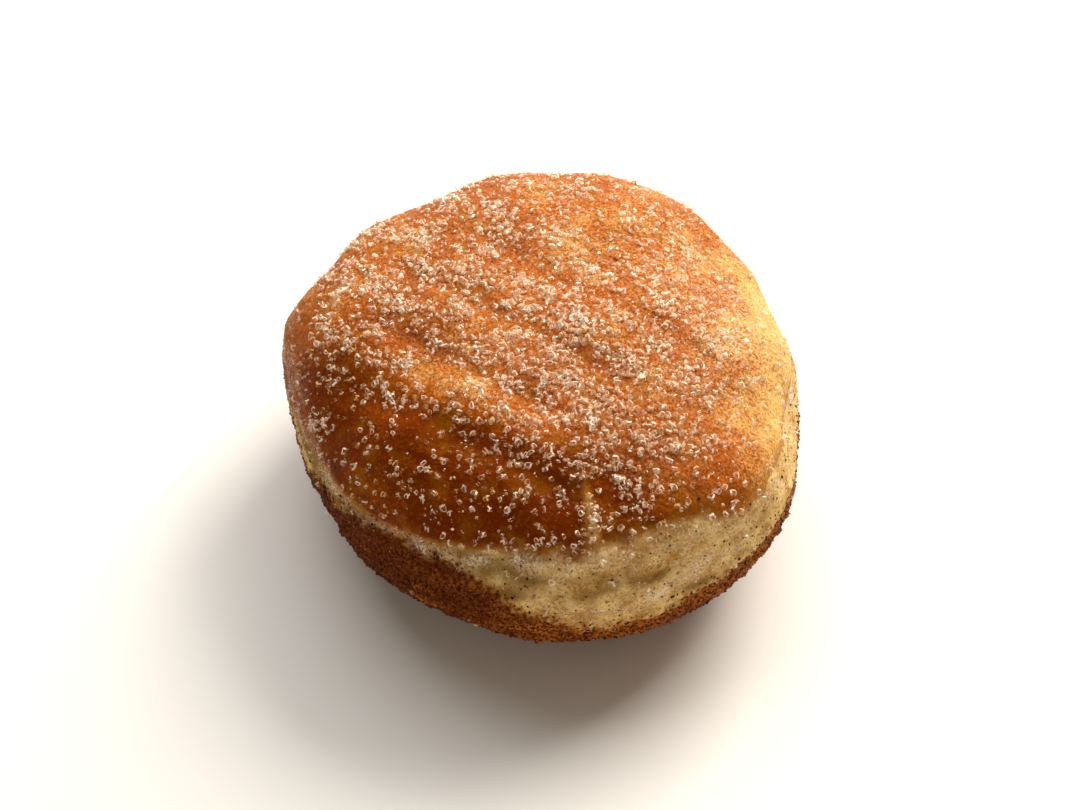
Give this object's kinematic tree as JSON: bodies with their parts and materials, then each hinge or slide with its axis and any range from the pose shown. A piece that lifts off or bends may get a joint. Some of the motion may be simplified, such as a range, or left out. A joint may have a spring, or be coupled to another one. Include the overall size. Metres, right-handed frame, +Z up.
{
  "type": "filled doughnut",
  "caption": "Round filled doughnut of fried yeast dough with a browned dome, a pale belt round its side and a coat of granulated sugar.",
  "frame": {"origin": "on the floor, under the middle of the doughnut's outline", "axes": "+Z up through the dome; -Y towards the front, where the pale belt is tallest; +X to the right of someone who faces the front"},
  "size_m": [0.0872, 0.0913, 0.0491],
  "materials": {
    "crust": "fried yeast dough, golden to deep brown, with a pale belt, softly glossy from frying fat",
    "sugar": "granulated sugar, clear to milky crystals with bright faces",
    "crumb": "toasted crumbs and caramelised sugar on the browned underside",
    "speck": "burnt specks from the frying fat"
  },
  "bodies": {
    "root": {"doughnut": "crust"}
  },
  "joints": []
}
